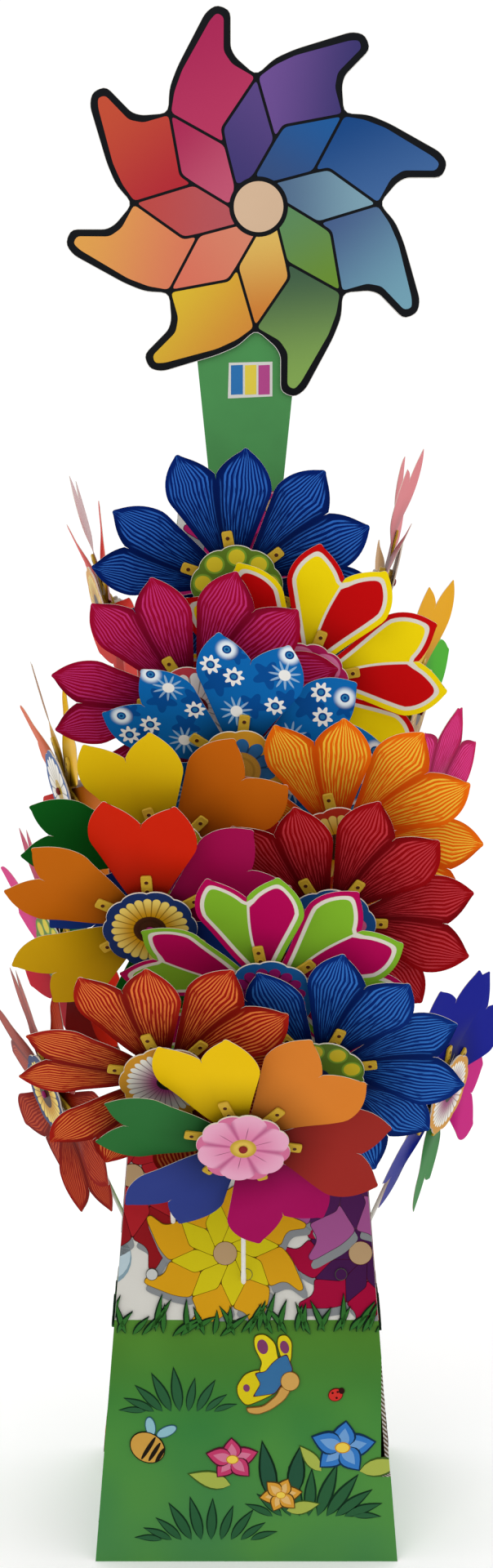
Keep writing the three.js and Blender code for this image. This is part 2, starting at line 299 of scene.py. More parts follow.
@once
def daisy_film(ground, deep):
    """Small white daisies, soft rings and starbursts over darker blossoms, on a ground with painted shade
    towards the hub.
    """
    s = Shader(f"film_daisies_{ground}", FILM_GLOSS)
    u, v = s.uv("print")
    height = s.times(v, SHEET_SPAN)
    # Painted shade: the ground is drawn darker towards the hub.
    shaded = s.step(height, 20.0, 75.0)
    colour = s.mix(shaded, darker(ground, 0.55), ground)

    def spot(x, y):
        return polar(s, u, height, x, y, SHEET_SPAN)

    def lay(radius, size, tone, soft=0.4, strength=1.0):
        cover = s.step(s.minus(size, radius), 0.0, soft)
        return s.mix(s.times(cover, strength), colour, tone)

    for x, y, size in ((16, 98, 15), (-28, 82, 15), (6, 64, 14), (36, 76, 13), (-14, 112, 10)):
        radius, angle = spot(x, y)
        wavy = s.scaled(s.math("COSINE", s.times(angle, 5.0)), 0.22, 0.78)
        colour = lay(radius, s.times(wavy, size), deep, strength=0.7)
    for x, y in ((31, 101), (-8, 56)):
        radius, angle = spot(x, y)
        spike = s.math("ABSOLUTE", s.math("SINE", s.times(angle, 5.5)))
        ray = s.scaled(s.math("POWER", spike, 4.0), 9.0, 6.5)
        colour = lay(radius, ray, "a9cbe6", 2.0, 0.7)
        colour = lay(radius, 5.6, "f4f3ee")
    for x, y in ((-23, 116), (33, 122)):
        radius, angle = spot(x, y)
        colour = lay(radius, 11.5, "e8f2f8", 6.0)
        colour = lay(radius, 4.4, deep)
        colour = lay(radius, 3.0, "2f7fb4")
        colour = lay(radius, 1.6, deep)
    for x, y in ((-14, 90), (26, 68), (-36, 98)):
        radius, angle = spot(x, y)
        wavy = s.scaled(s.math("COSINE", s.times(angle, 8.0)), 1.9, 8.2)
        colour = lay(radius, wavy, "f6f4ee")
        colour = lay(radius, 4.2, deep)
        colour = lay(radius, 2.6, "2f7fb4")
    return film(s, colour)


def disc_place(s):
    """A face disc's print layer, and each point's distance in mm and angle from the disc's middle."""
    u, v = s.uv("print")
    return u, v, *polar(s, u, s.scaled(v, DISC_SPAN, -DISC_SPAN / 2), 0.0, 0.0, DISC_SPAN / 2)


@once
def disc_print(border, root, tip, count, reach, depth, heart, heart_radius):
    """A printed blossom: count petals that reach out over a border, round a heart with a dark core."""
    s = Shader(f"disc_{border}_{root}_{tip}_{count}", DISC_GLOSS, coat=0.15)
    u, v, radius, angle = disc_place(s)
    crest = s.math("ABSOLUTE", s.math("COSINE", s.times(angle, count / 2)))
    rim = s.scaled(s.math("POWER", crest, 0.6), depth, reach - depth)
    petal = s.step(s.minus(rim, radius), -0.3, 0.3)
    tone = s.mix(s.step(radius, heart_radius, reach), root, tip)
    crease = s.step(crest, 0.42, 0.08)
    tone = s.mix(s.times(crease, 0.75), tone, darker(root, 0.5))
    colour = s.mix(petal, border, tone)
    ring_tone = s.step(s.math("ABSOLUTE", s.minus(radius, heart_radius * 0.7)), 1.8, 0.6)
    middle = s.mix(s.times(ring_tone, 0.5), heart, darker(heart, 0.6))
    speck = s.mix(s.noise(s.point(u, v), 120), darker(heart, 0.7), middle)
    return film(s, s.mix(s.step(radius, heart_radius + 0.6, heart_radius - 0.6), colour, speck))


@once
def lobed_print(border, lobe, deep, count, reach, heart, heart_radius):
    """A printed blossom of a few broad rounded lobes, each with a fold down its middle."""
    s = Shader(f"lobes_{lobe}_{count}", DISC_GLOSS, coat=0.15)
    u, v, radius, angle = disc_place(s)
    swing = s.times(angle, count / 2)
    middle = s.math("ABSOLUTE", s.math("COSINE", swing))
    between = s.math("ABSOLUTE", s.math("SINE", swing))
    reached = s.scaled(s.math("POWER", middle, 0.45), 12.0, reach - 12.0)
    petal = s.step(s.minus(reached, radius), -0.4, 0.4)
    tone = s.mix(s.step(radius, heart_radius, reach), lobe, paler(lobe, 0.3))
    shade = s.step(middle, 0.5, 0.0)
    tone = s.mix(s.times(shade, 0.8), tone, deep)
    fold = s.times(s.step(between, 0.07, 0.02), s.step(radius, reach * 0.7, reach * 0.5))
    tone = s.mix(s.times(fold, 0.85), tone, darker(deep, 0.55))
    colour = s.mix(petal, border, tone)
    core = s.mix(s.step(radius, heart_radius, heart_radius * 0.4), darker(heart, 0.85), paler(heart, 0.15))
    return film(s, s.mix(s.step(radius, heart_radius + 0.5, heart_radius - 0.5), colour, core))


@once
def blob_print(border, blob, count, ring_radius, blob_radius, heart, heart_radius):
    """A scalloped disc with a round blob in each scallop."""
    s = Shader(f"blobs_{border}_{blob}", DISC_GLOSS, coat=0.15)
    u, v, radius, angle = disc_place(s)
    step = 2 * math.pi / count
    within = s.minus(s.math("FLOORED_MODULO", s.plus(angle, step / 2), step), step / 2)
    aside = s.times(s.math("SINE", within), radius)
    out = s.minus(s.times(s.math("COSINE", within), radius), ring_radius)
    away = s.math("SQRT", s.plus(s.times(aside, aside), s.times(out, out)))
    colour = s.mix(s.step(away, blob_radius + 0.4, blob_radius - 0.4), border, blob)
    leafy = s.mix(s.step(away, blob_radius + 2.2, blob_radius + 1.4), darker(border, 0.75), colour)
    centre = s.step(radius, heart_radius + 0.5, heart_radius - 0.5)
    return film(s, s.mix(centre, leafy, s.mix(s.noise(s.point(u, v), 60), darker(heart, 0.7), heart)))


@once
def ink(code):
    """Printed and varnished card: even colour over a very faint fluting."""
    s = Shader(f"ink_{code}", 0.42)
    place = s.place()
    tone = s.mix(s.noise(place, 12), darker(code, 0.95), paler(code, 0.04))
    return s.finish(tone, s.noise(place, 55), 0.15, 0.0004)


@once
def gradient_ink(near, far, angle):
    """Printed card whose colour changes across each shape, along the layer's own direction."""
    s = Shader(f"ink_{near}_{far}_{angle}", 0.4)
    u, v = s.uv("print")
    turned = s.plus(s.times(u, math.cos(angle)), s.times(v, math.sin(angle)))
    low = min(0.0, math.cos(angle)) + min(0.0, math.sin(angle))
    high = max(0.0, math.cos(angle)) + max(0.0, math.sin(angle))
    tone = s.mix(s.step(turned, low, high), near, far)
    return s.finish(tone, s.noise(s.place(), 70), 0.15, 0.0003)


CARD_BROWN = "b3906a"
CARD_WHITE = "e9e6df"


def raw_card(s):
    """Cut edges of corrugated card: pale liners with the dark flutes between them."""
    x, y, z = s.split(s.place())
    along = s.plus(s.plus(x, y), z)
    flute = s.math("SINE", s.times(along, 1400.0))
    return s.mix(s.step(flute, -0.2, 0.5), darker(CARD_BROWN, 0.6), CARD_WHITE)


def facing(s, axis, sign):
    """1 on faces whose own normal points along sign * axis, and 0 elsewhere."""
    component = s.split(s.place("Normal"))["XYZ".index(axis)]
    return s.math("GREATER_THAN", s.times(component, sign), 0.7)


def meadow_tone(s):
    """The meadow's green, yellower a little below its top, up to the grass line; white above it."""
    x, y, z = s.split(s.place())
    cloud = s.noise(s.place(), 7)
    low = s.mix(s.step(z, 0.0, 0.17), "3f7f45", "2f7a34")
    green = s.mix(s.step(z, 0.12, 0.245), low, "44781c")
    green = s.mix(s.times(s.step(cloud, 0.3, 0.75), 0.5), green, "5c9a34")
    return s.mix(s.math("GREATER_THAN", z, GRASS_LINE * MM), green, "d2d0c8")


def wall_card(name, axis, sign):
    """A wall of the tower: the meadow print outside, brown card inside, raw edges."""
    s = Shader(name, 0.4, coat=0.25)
    inside = s.mix(s.noise(s.place(), 40), CARD_BROWN, darker(CARD_BROWN, 0.9))
    edge = s.mix(facing(s, axis, -sign), raw_card(s), inside)
    colour = s.mix(facing(s, axis, sign), edge, meadow_tone(s))
    return s.finish(colour, s.noise(s.place(), 55), 0.15, 0.0004)


def sheet_card(name, tone, axis):
    """A loose board with the same tone on both faces and raw edges."""
    s = Shader(name, 0.4, coat=0.2)
    both = s.math("MAXIMUM", facing(s, axis, 1.0), facing(s, axis, -1.0))
    mottled = s.mix(s.noise(s.place(), 26), tone, darker(tone, 0.9))
    colour = s.mix(both, raw_card(s), mottled)
    return s.finish(colour, s.noise(s.place(), 60), 0.2, 0.0004)


# ---- mesh building ----


def ring(radius, z=0.0, sides=32, centre=(0.0, 0.0)):
    """Points round a circle, counter-clockwise."""
    turn = 2 * math.pi / sides
    return [
        (centre[0] + radius * math.cos(i * turn), centre[1] + radius * math.sin(i * turn), z)
        for i in range(sides)
    ]


def flat(outline, z):
    return [(x, y, z) for x, y, *_ in outline]


def inset(outline, distance):
    """The outline moved inwards, for an outline that runs counter-clockwise."""
    moved = []
    count = len(outline)
    for i in range(count):
        before, here, after = (Vector(outline[j % count][:2]) for j in (i - 1, i, i + 1))
        first, second = (here - before).normalized(), (after - here).normalized()
        normals = Vector((-first.y, first.x)) + Vector((-second.y, second.x))
        scale = distance / max(0.35, normals.length / 2)
        moved.append(tuple(here + normals.normalized() * scale))
    return moved


class Piece:
    """Gathers closed shapes, in mm, into one mesh that rides on a body of the frame."""

    def __init__(self, name):
        self.name = name
        self.points = []
        self.faces = []
        self.slots = []
        self.face_slots = []
        self.layers = {}

    def _slot(self, material):
        if material not in self.slots:
            self.slots.append(material)
        return self.slots.index(material)

    def face(self, corners, material, layers=None):
        """One face over points already added; layers gives a (u, v) for each corner."""
        for layer, values in (layers or {}).items():
            self.layers.setdefault(layer, {})[len(self.faces)] = values
        self.faces.append(corners)
        self.face_slots.append(self._slot(material))

    def loft(self, rings, material, where=Matrix.Identity(4), top=None, layer=None):
        """A closed skin over rings of equally many points, bottom first; top is its last face's material."""
        base, count = len(self.points), len(rings[0])
        for points in rings:
            self.points += [where @ Vector(p) for p in points]
        for level in range(len(rings) - 1):
            low = base + level * count
            for i in range(count):
                j = (i + 1) % count
                self.face((low + i, low + j, low + j + count, low + i + count), material)
        self.face(tuple(base + count - 1 - i for i in range(count)), material)
        last = base + (len(rings) - 1) * count
        values = {layer: box_layer(rings[-1])} if layer else None
        self.face(tuple(last + i for i in range(count)), top or material, values)

    def plate(self, outline, low, high, material, bevel=0.0, **options):
        """A flat plate on an outline, with its front edge bevelled."""
        rings = [flat(outline, low), flat(outline, high - bevel)]
        if bevel:
            rings.append(flat(inset(outline, bevel), high))
        self.loft(rings, material, **options)

    def sheet(self, grid, thickness, fronts, back, edge, where=Matrix.Identity(4)):
        """A thin closed sheet under a surface: grid is (points, quads, layer values by quad corner),
        and fronts has a material for each quad."""
        points, quads, layers = grid
        base, count = len(self.points), len(points)
        self.points += [where @ Vector(p) for p in points]
        self.points += [where @ Vector((x, y, z - thickness)) for x, y, z in points]
        used = {}
        for index, quad in enumerate(quads):
            values = {name: corners[index] for name, corners in layers.items()}
            self.face(tuple(base + i for i in quad), fronts[index], values)
            flipped = {name: corners[::-1] for name, corners in values.items()}
            self.face(tuple(base + count + i for i in reversed(quad)), back, flipped)
            for a, b in zip(quad, quad[1:] + quad[:1]):
                used[(a, b)] = True
        for a, b in used:
            if (b, a) not in used:
                self.face((base + b, base + a, base + count + a, base + count + b), edge)

    def build(self, body, nodes, slot, where=Matrix.Identity(4)):
        mesh = bpy.data.meshes.new(self.name)
        mesh.from_pydata([where @ (Vector(p) * MM) for p in self.points], [], self.faces)
        for material in self.slots:
            mesh.materials.append(material)
        mesh.polygons.foreach_set("material_index", self.face_slots)
        for layer, faces in self.layers.items():
            uv = mesh.uv_layers.new(name=layer)
            for index, values in faces.items():
                for loop, value in zip(mesh.polygons[index].loop_indices, values):
                    uv.data[loop].uv = value
        mesh.shade_smooth()
        mesh.set_sharp_from_angle(angle=math.radians(35))
        piece = bpy.data.objects.new(self.name, mesh)
        bpy.context.scene.collection.objects.link(piece)
        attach(piece, body)
        if nodes:
            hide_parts(*nodes)


def box_layer(points):
    """A (u, v) for each point, 0 to 1 over the shape's own box."""
    xs, ys = [p[0] for p in points], [p[1] for p in points]
    wide, tall = max(xs) - min(xs), max(ys) - min(ys)
    return [((x - min(xs)) / wide, (y - min(ys)) / tall) for x, y, *_ in points]


def bend(a, control, b, t):
    """The point at t, from 0 to 1, on the quadratic curve from a to b."""
    return tuple((1 - t) ** 2 * a[k] + 2 * t * (1 - t) * control[k] + t * t * b[k] for k in (0, 1))


def curve(a, control, b, steps):
    """Points from a towards b along a quadratic curve, without b."""
    return [bend(a, control, b, i / steps) for i in range(steps)]


# ---- a pinwheel's wheel ----

PETALS = 6
DISC_RADIUS = 42.0
FILM = 0.5  # a sheet's thickness
ROOT, NOTCH = 12.0, 109.0  # heights of a sheet's inner end and of the notch between its tips
WIDEST, TIP = (47.5, 86.0), (31.5, 129.0)
FORK = 0.7  # the share of a half's rows that lie below the notch
ROWS, COLUMNS = 24, 10  # quads up and across each half
CLIP_END, TWIST_SPAN = 26.0, 52.0  # a sheet is flat up to the first, then twists over the second
ON_CLIP = 1.3  # how far the flat part stands in front of the wheel's middle
CROWN, TWIST, DROP = 0.6, -9.5, 0.8  # mm at the widest part: bulge, twist and setting back
BORDER = 6.0  # added to distances from the seam, where a half has its ring but no rim


def inner_edge(v):
    """The line between a sheet's two halves up to the notch, and from there to the tip."""
    if v < FORK:
        along = v / FORK
        return -5.0 * math.sin(math.pi * along), ROOT + (NOTCH - ROOT) * along
    return bend((0.0, NOTCH), (9.0, 121.5), (TIP[0] - 3.5, TIP[1] + 0.2), (v - FORK) / (1 - FORK))


def outer_edge(v):
    if v < 0.6:
        return bend((6.0, ROOT), (25.0, 46.0), WIDEST, v / 0.6)
    return bend(WIDEST, (52.5, 108.0), (TIP[0] + 3.5, TIP[1] - 0.8), (v - 0.6) / 0.4)


def distance_to(point, line):
    best = 1e9
    p = Vector(point)
    for a, b in zip(line, line[1:]):
        a, b = Vector(a), Vector(b)
        t = max(0.0, min(1.0, (p - a).dot(b - a) / (b - a).length_squared))
        best = min(best, (p - a.lerp(b, t)).length)
    return best


def sheet_height(x, y):
    """How far a sheet stands forward: flat at its clip, twisted like a vane further out."""
    t = max(0.0, min(1.0, (y - CLIP_END) / TWIST_SPAN))
    share = t * t * (3 - 2 * t)
    side = x / WIDEST[0]
    return ON_CLIP + share * (CROWN * side**2 - TWIST * side - DROP)


def half_sheet(mirror):
    """Grid points of one half, with the left half (mirror -1) ending on the right half's edge."""
    grid = []
    for row in range(ROWS + 1):
        v = row / ROWS
        inner, outer = Vector(inner_edge(v)), Vector(outer_edge(v))
        if mirror < 0 and v < FORK:
            inner.x = -inner.x
        round_tip = max(0.0, (v - 0.9) / 0.1) ** 2
        line = []
        for column in range(COLUMNS + 1):
            u = column / COLUMNS
            point = inner.lerp(outer, u)
            point.y += 2.6 * round_tip * (1 - (2 * u - 1) ** 2)
            line.append((mirror * point.x, point.y))
        grid.append(line)
    return grid


def petal_grid():
    """One sheet's surface. Its "lobe" layer runs across and along each half. Its "print" layer
    holds each point's distances in from the half's outer and inner edges, or else its place."""
    points, quads, halves = [], [], []
    lobe, bands, place = [], [], []
    index = {}

    def add(point):
        key = (round(point[0], 3), round(point[1], 3))
        if key not in index:
            index[key] = len(points)
            points.append((point[0], point[1], sheet_height(*point)))
        return index[key]

    steps = [i / 40 for i in range(41)]
    for mirror in (1, -1):
        grid = half_sheet(mirror)
        outline = [(mirror * x, y) for x, y in map(outer_edge, steps)]
        rim = [(mirror * x, y) for x, y in map(inner_edge, steps) if y >= NOTCH - 0.01]
        seam = [inner_edge(v) for v in steps if v <= FORK]
        for row in range(ROWS):
            for column in range(COLUMNS):
                cells = [(row, column), (row, column + 1), (row + 1, column + 1), (row + 1, column)]
                if mirror < 0:
                    cells.reverse()
                corners = [grid[r][c] for r, c in cells]
                quads.append(tuple(add(p) for p in corners))
                halves.append(mirror)
                lobe.append([(c / COLUMNS, r / ROWS) for r, c in cells])
                inner = [distance_to(p, rim) for p in corners]
                if mirror > 0:
                    inner = [min(d, distance_to(p, seam) + BORDER) for d, p in zip(inner, corners)]
                outer = [distance_to(p, outline) for p in corners]
                bands.append([(a / EDGE_SPAN, b / EDGE_SPAN) for a, b in zip(outer, inner)])
                place.append([(x / (2 * SHEET_SPAN) + 0.5, y / SHEET_SPAN) for x, y in corners])
    return points, quads, halves, lobe, bands, place


POINTS, QUADS, HALVES, LOBE, BANDS, PLACE = petal_grid()


ARM_END = 54.0
PEGS_AT = (37.5, 47.5)


def arm_outline():
    """A clip arm: straight sides and a rounded outer end."""
    half, end, corner = 5.0, ARM_END, 2.5
    outline = [(-half, 8.0), (half, 8.0)]
    outline += curve((half, end - corner), (half, end), (half - corner, end), 4)
    outline += [(half - corner, end)]
    outline += curve((-half + corner, end), (-half, end), (-half, end - corner), 4)
    outline += [(-half, end - corner)]
    return outline


def turn_about(degrees):
    return Matrix.Rotation(math.radians(degrees), 4, "Z")


def add_petals(piece, fronts, backs, sheets, layer):
    """Adds the numbered sheets, each with its own films: (right half, left half), and a back."""
    edge = plastic(CUT_EDGE, 0.5)
    for i in sheets:
        right, left = fronts[i]
        grid = (POINTS, QUADS, {"lobe": LOBE, "print": layer})
        halves = [right if half > 0 else left for half in HALVES]
        piece.sheet(grid, FILM, halves, backs[i], edge, turn_about(i * 360 / PETALS))


def add_hub(piece):
    """The boss, and six clip arms with two pegs each."""
    body, hole = plastic("cfa62c"), plastic("4a2010", 0.6)
    boss = [ring(11.4, -5.0), ring(12.0, -4.4), ring(12.0, 8.0), ring(11.6, 8.5)]
    piece.loft(boss, body)
    for i in range(PETALS):
        where = turn_about(i * 360 / PETALS)
        piece.plate(arm_outline(), 1.5, 3.6, body, bevel=0.5, where=where)
        for distance in PEGS_AT:
            rim = [ring(2.7, 3.5, 16), ring(2.5, 3.9, 16), ring(1.9, 4.0, 16)]
            spot = where @ Matrix.Translation((0.0, distance, 0.0))
            piece.loft(rim, body, spot, top=hole)


def scallop(radius, depth, count):
    """A wavy disc outline with count rounded bumps."""
    points = []
    for i in range(count * 8):
        angle = 2 * math.pi * i / (count * 8)
        bump = abs(math.cos(angle * count / 2)) ** 0.7
        r = radius - depth + depth * bump
        points.append((r * math.cos(angle), r * math.sin(angle)))
    return points


def add_disc(piece, print_, bumps):
    """The printed face disc, a short collar behind it and its white cut edge."""
    outline = scallop(DISC_RADIUS + 1.0, 2.6, bumps)
    rings = [flat(outline, 9.6), flat(outline, 10.6), flat(inset(outline, 0.3), 11.0)]
    white = plastic(CUT_EDGE, 0.5)
    piece.loft(rings, white, top=print_)
    index = len(piece.faces) - 1
    values = [(x / DISC_SPAN + 0.5, y / DISC_SPAN + 0.5) for x, y, _ in rings[-1]]
    piece.layers.setdefault("print", {})[index] = values
    piece.loft([ring(7.0, 8.6), ring(7.0, 9.7)], white)


def add_cap(piece, code):
    """The small domed cap on the axle's end."""
    profile = [(3.6, 11.4), (4.0, 11.8), (4.0, 12.8), (3.4, 13.8), (2.0, 14.4), (0.8, 14.6)]
    piece.loft([ring(r, z, 20) for r, z in profile], plastic(code, 0.3))


# ---- each pinwheel's colours ----

SUNFLOWER = ("c8900e", "ecd06a", 24, 35.0, 4.0, "4e2c1a", 15.0)
GREEN_BLOBS = ("blobs", "7ca434", "dcc62e", 9, 31.5, 7.5, "c8861c", 13.0)
PINK_LOBES = ("lobes", "b81f5e", "d9488a", "a01850", 6, 40.0, "e2b93b", 10.0)
BLUE_DAISY = ("blossom", "1c4f90", "a81f5e", "d0608a", 10, 34.0, 8.0, "e2b93b", 10.0)
WHITE_RING = "e0dacb"


def plain(*codes):
    return [("plain", code) for code in codes]


def style(turn, films, disc, bumps, cap):
    """How far a wheel is turned at rest; the print of its sheets, one for all six or one each,
    counter-clockwise from the top; its face disc's print and bumps; and the cap's colour."""
    return {"turn": turn, "films": films, "disc": disc, "bumps": bumps, "cap": cap}


STYLES = {
    "front_01": style(10, [("strokes", "052068", "1656b4", "030f34")], GREEN_BLOBS, 9, "8a3b12"),
    "front_02": style(40, [("bands", "f4d80c", "c40c0e")], PINK_LOBES, 12, "8a1230"),
    "front_03": style(
        30,
        [("strokes", "9e0a30", "bc1862", "4c041c")],
        ("blossom", "c8404a", "e8d8d0", "f6f2ea", 18, 36.0, 7.0, "7c1c22", 12.0),
        9,
        "8a1230",
    ),
    "front_04": style(
        -6,
        [("daisies", "1068b2", "0a3f88")],
        ("blossom", "d89a2a", "2a5c8c", "2f6ea8", 12, 34.0, 9.0, "d8a03a", 20.0),
        9,
        "22507e",
    ),
    "front_05": style(
        13,
        [("strokes", "f06c0c", "f8bc28", "b02c06")],
        ("blossom", "b43020", *SUNFLOWER),
        9,
        "6e1a1a",
    ),
    "front_06": style(
        19,
        plain("e6be0c", "0c5c18", "1a3c9c", "a20a4a", "b01a10", "c4600a"),
        ("blossom", "b4a42a", "8c1a6e", "b4348c", 8, 35.0, 6.0, "e2b93b", 12.0),
        9,
        "6e1a1a",
    ),
    "front_07": style(-32, [("strokes", "980a10", "bc202a", "40040a")], BLUE_DAISY, 9, "8a1230"),
    "front_08": style(
        3,
        plain("cc2008", "c4640a", "d0a00a", "0a5c12", "1a3c9c", "a00a48"),
        ("blossom", "1a2f60", *SUNFLOWER),
        10,
        "8c1458",
    ),
    "front_09": style(
        10,
        [("bands", "80b42c", "b40a54")],
        ("blossom", "1c5ea0", "6c0e48", "981866", 16, 35.0, 6.0, "4c0c3c", 12.0),
        10,
        "c8a02a",
    ),
    "front_10": style(
        -22,
        [("strokes", "0a2a74", "1c62be", "030e38")],
        ("blobs", "7ca434", "dcc62e", 9, 31.5, 7.5, "1c2f5a", 10.0),
        8,
        "8a1230",
    ),
    "front_11": style(
        20,
        [("strokes", "a01c12", "e06a24", "4c0c06")],
        ("blossom", "d0922c", "983a70", "f0eee0", 30, 36.0, 5.0, "2c2c20", 9.0),
        9,
        "2c2c14",
    ),
    "front_12": style(
        20,
        plain("ecc00c", "2a6c32", "2e3c84", "a00c54", "982822", "d87c2a"),
        ("lobes", "d06c94", "dc82a8", "b04a7c", 6, 42.5, "e2b93b", 12.0),
        12,
        "8c1c1c",
    ),
    "left_1": style(
        10,
        [("strokes", "981018", "b42822", "500810"), *plain(*["de2a1a"] * 5)],
        ("blossom", "d89a2a", *SUNFLOWER),
        9,
        "6e1a1a",
    ),
    "left_2": style(
        12,
        plain("e8a80c", "dc5608", "c8180c", "a80a4c", "c4640a", "ecb40c"),
        ("blossom", "1c4f90", "e0dacb", "f6f2ea", 16, 36.0, 6.0, "e2b93b", 12.0),
        9,
        "6e1a1a",
    ),
    "left_3": style(
        12,
        plain("b8104c", "d8087a", "c8102a", "8c100c", "c4200c", "0a6a1c"),
        GREEN_BLOBS,
        9,
        "6e1a1a",
    ),
    "left_4": style(
        15,
        [("strokes", "8c1206", "b4360e", "4c0a04")],
        ("blossom", "1a2f60", *SUNFLOWER),
        10,
        "8c1458",
    ),
    "right_1": style(
        20,
        plain("e07a80", "e08a90", "e8a06a", "dc7078", "e8b060", "e07a80"),
        PINK_LOBES,
        12,
        "8a1230",
    ),
    "right_2": style(
        5,
        plain("eca80a", "e8b40c", "d81c0e", "3aa51c", "42b018", "42b018"),
        ("blossom", "d89a2a", *SUNFLOWER),
        9,
        "6e1a1a",
    ),
    "right_3": style(20, [("strokes", "c40a58", "e02a84", "6c0434")], GREEN_BLOBS, 9, "8a1230"),
    "right_4": style(
        12,
        plain("10188c", "10188c", "10188c", "0a7a1e", "c8087a", "10188c"),
        ("blossom", "d0922c", "983a70", "f0eee0", 30, 36.0, 5.0, "2c2c20", 9.0),
        9,
        "2c2c14",
    ),
}

DISC_PRINTS = {"blossom": disc_print, "lobes": lobed_print, "blobs": blob_print}


def film_pair(kind, *codes):
    """The print on a sheet's right and left halves."""
    if kind == "bands":
        first, second = codes
        return banded_film(first, second, WHITE_RING), banded_film(second, first, WHITE_RING)
    make = {"plain": plain_film, "strokes": stroke_film, "daisies": daisy_film}[kind]
    return make(*codes), make(*codes)


def back_of(kind, code, *_):
    return plain_film(darker(code, 0.9)) if kind == "plain" else back_film(code)


def petal_films(style):
    """Six fronts, six backs and the print layer for a pinwheel's sheets."""
    specs = style["films"] * (PETALS // len(style["films"]))
    layer = PLACE if specs[0][0] == "daisies" else BANDS
    return [film_pair(*spec) for spec in specs], [back_of(*spec) for spec in specs], layer


def wheel_frame(joint):
    """Where a wheel is: its centre, with local z out of its face along the axle and y up it."""
    z = Vector(joint["axis"])
    y = (Vector((0, 0, 1)) - z * z.z).normalized()
    x = y.cross(z)
    turn = Matrix((x, y, z)).transposed().to_4x4()
    return Matrix.Translation(joint["pos_m"]) @ turn


def stick_foot(node, centre):
    """The middle of the far end of a CAD stick: the mean of the corners of its eight-sided end."""
    corners = sorted((v.co for v in frame["nodes"][node].data.vertices), key=lambda c: -(c - centre).length)
    unique = []
    for corner in corners:
        if all((corner - other).length > 1e-5 for other in unique):
            unique.append(corner)
        if len(unique) == 8:
            break
    return sum(unique, Vector()) / len(unique)


AXLE_BACK = -9.0  # how far along the axle the stick's head is


def build_stick(name, where):
    """The moulded stick with its round head."""
    centre = where.translation
    head = where @ Vector((0, 0, AXLE_BACK * MM))
    foot = stick_foot(f"{name}_stick", centre)
    down = (where.inverted().to_3x3() @ (foot - head)) / MM
    length = down.length
    aim = Matrix.Translation((0, 0, AXLE_BACK)) @ down.to_track_quat("Z", "Y").to_matrix().to_4x4()

    white = plastic("f1eee6", 0.35)
    piece = Piece(f"{name}_stick")
    shaft = [(1.6, -8.0), (2.4, -7.2), (2.5, -6.0), (2.5, 20.0), (2.2, 21.0), (2.2, length - 30)]
    shaft += [(2.5, length - 29), (2.5, length - 1.5), (1.6, length)]
    piece.loft([ring(r, z, 20) for r, z in shaft], white, aim)
    boss = [(4.4, -13.0), (5.0, -12.4), (5.0, -6.1), (4.4, -5.5)]
    piece.loft([ring(r, z, 24) for r, z in boss], white)
    piece.build("tower", [f"{name}_stick"], "stick", where)


def build_axle(name, where, nodes, cap):
    steel = Piece(f"{name}_axle")
    pin = [(1.6, -14.8), (3.2, -14.6), (3.2, -13.4), (1.6, -13.2), (1.6, 12.8), (1.2, 13.0)]
    steel.loft([ring(r, z, 20) for r, z in pin], metal("b9bcc0"))
    steel.build("tower", nodes[:1], "axle_pin", where)
    front = Piece(f"{name}_cap")
    add_cap(front, cap)
    front.build("tower", nodes[1:], "hub", where)


def build_pinwheel(joint):
    """A pinwheel: stick, axle and cap on the tower, and hub, petals and face disc on the wheel."""
    body = joint["child"]
    name = body.removesuffix("_spinner")
    style = STYLES[name]
    single = f"{name}_hub" in frame["nodes"]
    where = wheel_frame(joint)
    on_wheel = where @ turn_about(style["turn"])

    build_stick(name, where)
    build_axle(name, where, [f"{name}_axle_pin", f"{name}_axle_cap"] if single else [], style["cap"])

    fronts, backs, layer = petal_films(style)
    groups = [[i] for i in range(PETALS)] if single else [list(range(PETALS))]
    for group in groups:
        label = f"{name}_petal_{group[0] + 1}" if single else f"{name}_petals"
        petals = Piece(label)
        add_petals(petals, fronts, backs, group, layer)
        node = label if single else f"{name}_wheel"
        petals.build(body, [node], f"petal_{group[0] + 1}" if single else node, on_wheel)

    hub = Piece(f"{name}_hub")
    add_hub(hub)
    hub.build(body, [f"{name}_hub" if single else f"{name}_wheel"], "hub", on_wheel)
    disc = Piece(f"{name}_face_disc")
    kind, *look = style["disc"]
    add_disc(disc, DISC_PRINTS[kind](*look), style["bumps"])
    disc.build(body, [f"{name}_face_disc" if single else f"{name}_wheel"], "face_disc", on_wheel)


# ---- the sign ----

SIGN_CENTRE = (9.0, 1322.0)
SIGN_BACK, SIGN_FRONT = 2.3, 6.3  # mm in front of the neck's middle
HUB_SHIFT = (2.5, -3.0)  # the plain disc sits a little off the blades' centre
BLADES = 8
# One blade, as (radius, angle): its card, its outer printed panel and its inner one.
BLADE_OUTLINE = [(118, 45), (134.5, 37.7), (146.5, 30.5), (181.5, 15.3), (186, 11.6), (178.5, 7.6)]
BLADE_OUTLINE += [(144.5, 9.4), (135.5, 8)]
OUTER_PANEL = [(116.5, 44.6), (129.5, 37.3), (142, 30), (174.5, 14.7), (180, 11.9), (174, 9.6)]
OUTER_PANEL += [(143, 11.8), (131, 9.6), (116.5, -0.4), (76.2, 24.9), (61.7, 28.2)]
INNER_PANEL = [(116.5, 44.6), (76.2, 69.9), (61.7, 73.2), (25, 95.3), (22, 72), (25, 50.3), (61.7, 28.2)]
